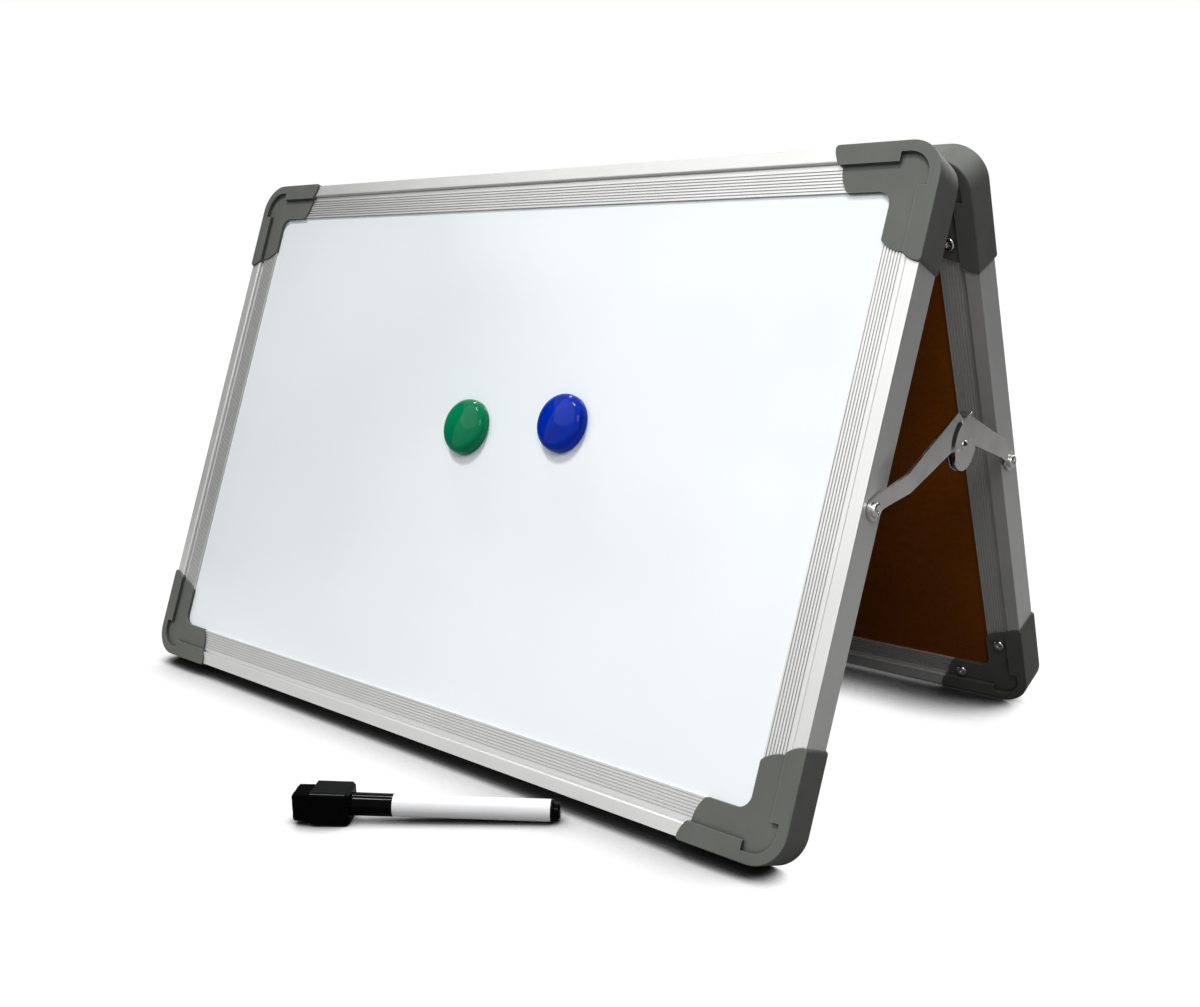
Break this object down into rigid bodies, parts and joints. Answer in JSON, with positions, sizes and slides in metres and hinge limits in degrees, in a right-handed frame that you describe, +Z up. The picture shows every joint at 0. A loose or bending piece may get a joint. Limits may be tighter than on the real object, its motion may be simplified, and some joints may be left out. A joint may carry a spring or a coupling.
{
  "type": "desk whiteboard easel",
  "caption": "Folding A-frame desk easel with two framed magnetic dry-wipe boards, top hinges, side stays, button magnets and a capped marker.",
  "frame": {"origin": "on the desk, midway between the two boards' feet and under the hinge line", "axes": "+X along the boards to the right of a reader of the front board, +Y from the front board to the rear board, +Z up"},
  "size_m": [0.4488, 0.3275, 0.2667],
  "materials": {
    "anodised_rail": "satin anodised extrusion",
    "bright_fastener": "bright plated",
    "grey_cap": "fine matt moulding",
    "white_lacquer": "gloss white dry-wipe lacquer",
    "softboard": "raw softboard, hidden",
    "hardboard": "brown hardboard, smooth side",
    "hinge_steel": "zinc plated",
    "stay_steel": "nickel plated strip",
    "green_plastic": "glossy",
    "blue_plastic": "glossy",
    "ferrite": "dull",
    "black_plastic": "glossy",
    "white_plastic": "glossy",
    "eraser_felt": "dense felt",
    "nib_holder_plastic": "moulded",
    "nib_fibre": "pressed fibre",
    "ink_fibre": "ink-soaked fibre"
  },
  "bodies": {
    "front_board": {"front_core": "softboard", "front_corner_bottom_left": "grey_cap", "front_corner_bottom_right": "grey_cap", "front_corner_screws": "bright_fastener", "front_corner_top_left": "grey_cap", "front_corner_top_right": "grey_cap", "front_hardboard_back": "hardboard", "front_hinge_leaf_left": "hinge_steel", "front_hinge_leaf_right": "hinge_steel", "front_hinge_screws": "bright_fastener", "front_rail_bottom": "anodised_rail", "front_rail_left": "anodised_rail", "front_rail_right": "anodised_rail", "front_rail_top": "anodised_rail", "front_writing_sheet": "white_lacquer", "hinge_pin_left": "hinge_steel", "hinge_pin_right": "hinge_steel", "stay_front_screw_left": "bright_fastener", "stay_front_screw_right": "bright_fastener"},
    "rear_board": {"rear_core": "softboard", "rear_corner_bottom_left": "grey_cap", "rear_corner_bottom_right": "grey_cap", "rear_corner_screws": "bright_fastener", "rear_corner_top_left": "grey_cap", "rear_corner_top_right": "grey_cap", "rear_hardboard_back": "hardboard", "rear_hinge_leaf_left": "hinge_steel", "rear_hinge_leaf_right": "hinge_steel", "rear_hinge_screws": "bright_fastener", "rear_rail_bottom": "anodised_rail", "rear_rail_left": "anodised_rail", "rear_rail_right": "anodised_rail", "rear_rail_top": "anodised_rail", "rear_writing_sheet": "white_lacquer"},
    "right_front_arm": {"stay_front_arm_right": "stay_steel", "stay_rivet_right": "bright_fastener", "stay_washer_right": "hinge_steel"},
    "right_rear_arm": {"stay_rear_arm_right": "stay_steel", "stay_rear_screw_right": "bright_fastener"},
    "left_front_arm": {"stay_front_arm_left": "stay_steel", "stay_rivet_left": "bright_fastener", "stay_washer_left": "hinge_steel"},
    "left_rear_arm": {"stay_rear_arm_left": "stay_steel", "stay_rear_screw_left": "bright_fastener"},
    "green_magnet": {"magnet_green_button": "green_plastic", "magnet_green_disc": "ferrite"},
    "blue_magnet": {"magnet_blue_button": "blue_plastic", "magnet_blue_disc": "ferrite"},
    "marker": {"marker_barrel": "white_plastic", "marker_end_plug": "black_plastic", "marker_ink_reservoir": "ink_fibre", "marker_nib": "nib_fibre", "marker_nib_holder": "nib_holder_plastic"},
    "marker_cap_body": {"marker_cap": "black_plastic", "marker_eraser_felt": "eraser_felt"}
  },
  "joints": [
    {"name": "fold", "type": "hinge", "parent": "front_board", "child": "rear_board", "pos_m": [0, 0, 0.26128], "axis": [-1, 0, 0], "range_deg": [0, 45.3]},
    {"name": "right_stay_pivot", "type": "hinge", "parent": "front_board", "child": "right_front_arm", "pos_m": [0.216, -0.06289, 0.1329], "axis": [1, 0, 0], "range_deg": [0, 45.17]},
    {"name": "right_stay_knuckle", "type": "hinge", "parent": "right_front_arm", "child": "right_rear_arm", "pos_m": [0.216, 0, 0.14928], "axis": [1, 0, 0], "range_deg": [-135.61, 0]},
    {"name": "left_stay_pivot", "type": "hinge", "parent": "front_board", "child": "left_front_arm", "pos_m": [-0.216, -0.06289, 0.1329], "axis": [1, 0, 0], "range_deg": [0, 45.17]},
    {"name": "left_stay_knuckle", "type": "hinge", "parent": "left_front_arm", "child": "left_rear_arm", "pos_m": [-0.216, 0, 0.14928], "axis": [1, 0, 0], "range_deg": [-135.61, 0]},
    {"name": "green_magnet_slide", "type": "slide", "parent": "front_board", "child": "green_magnet", "axis": [1, 0, 0], "range_m": [-0.165, 0.012]},
    {"name": "blue_magnet_slide", "type": "slide", "parent": "front_board", "child": "blue_magnet", "axis": [1, 0, 0], "range_m": [-0.012, 0.115]},
    {"name": "marker_lift", "type": "slide", "parent": "front_board", "child": "marker", "axis": [0, 0, 1], "range_m": [0, 0.12]},
    {"name": "marker_cap_pull", "type": "slide", "parent": "marker", "child": "marker_cap_body", "axis": [-0.8004, -0.5987, 0.0303], "range_m": [0, 0.045]}
  ],
  "couplings": [
    {"joint": "right_stay_pivot", "follows": "fold", "ratio": 0.9966},
    {"joint": "right_stay_knuckle", "follows": "fold", "ratio": -2.9932},
    {"joint": "left_stay_pivot", "follows": "fold", "ratio": 0.9966},
    {"joint": "left_stay_knuckle", "follows": "fold", "ratio": -2.9932}
  ]
}
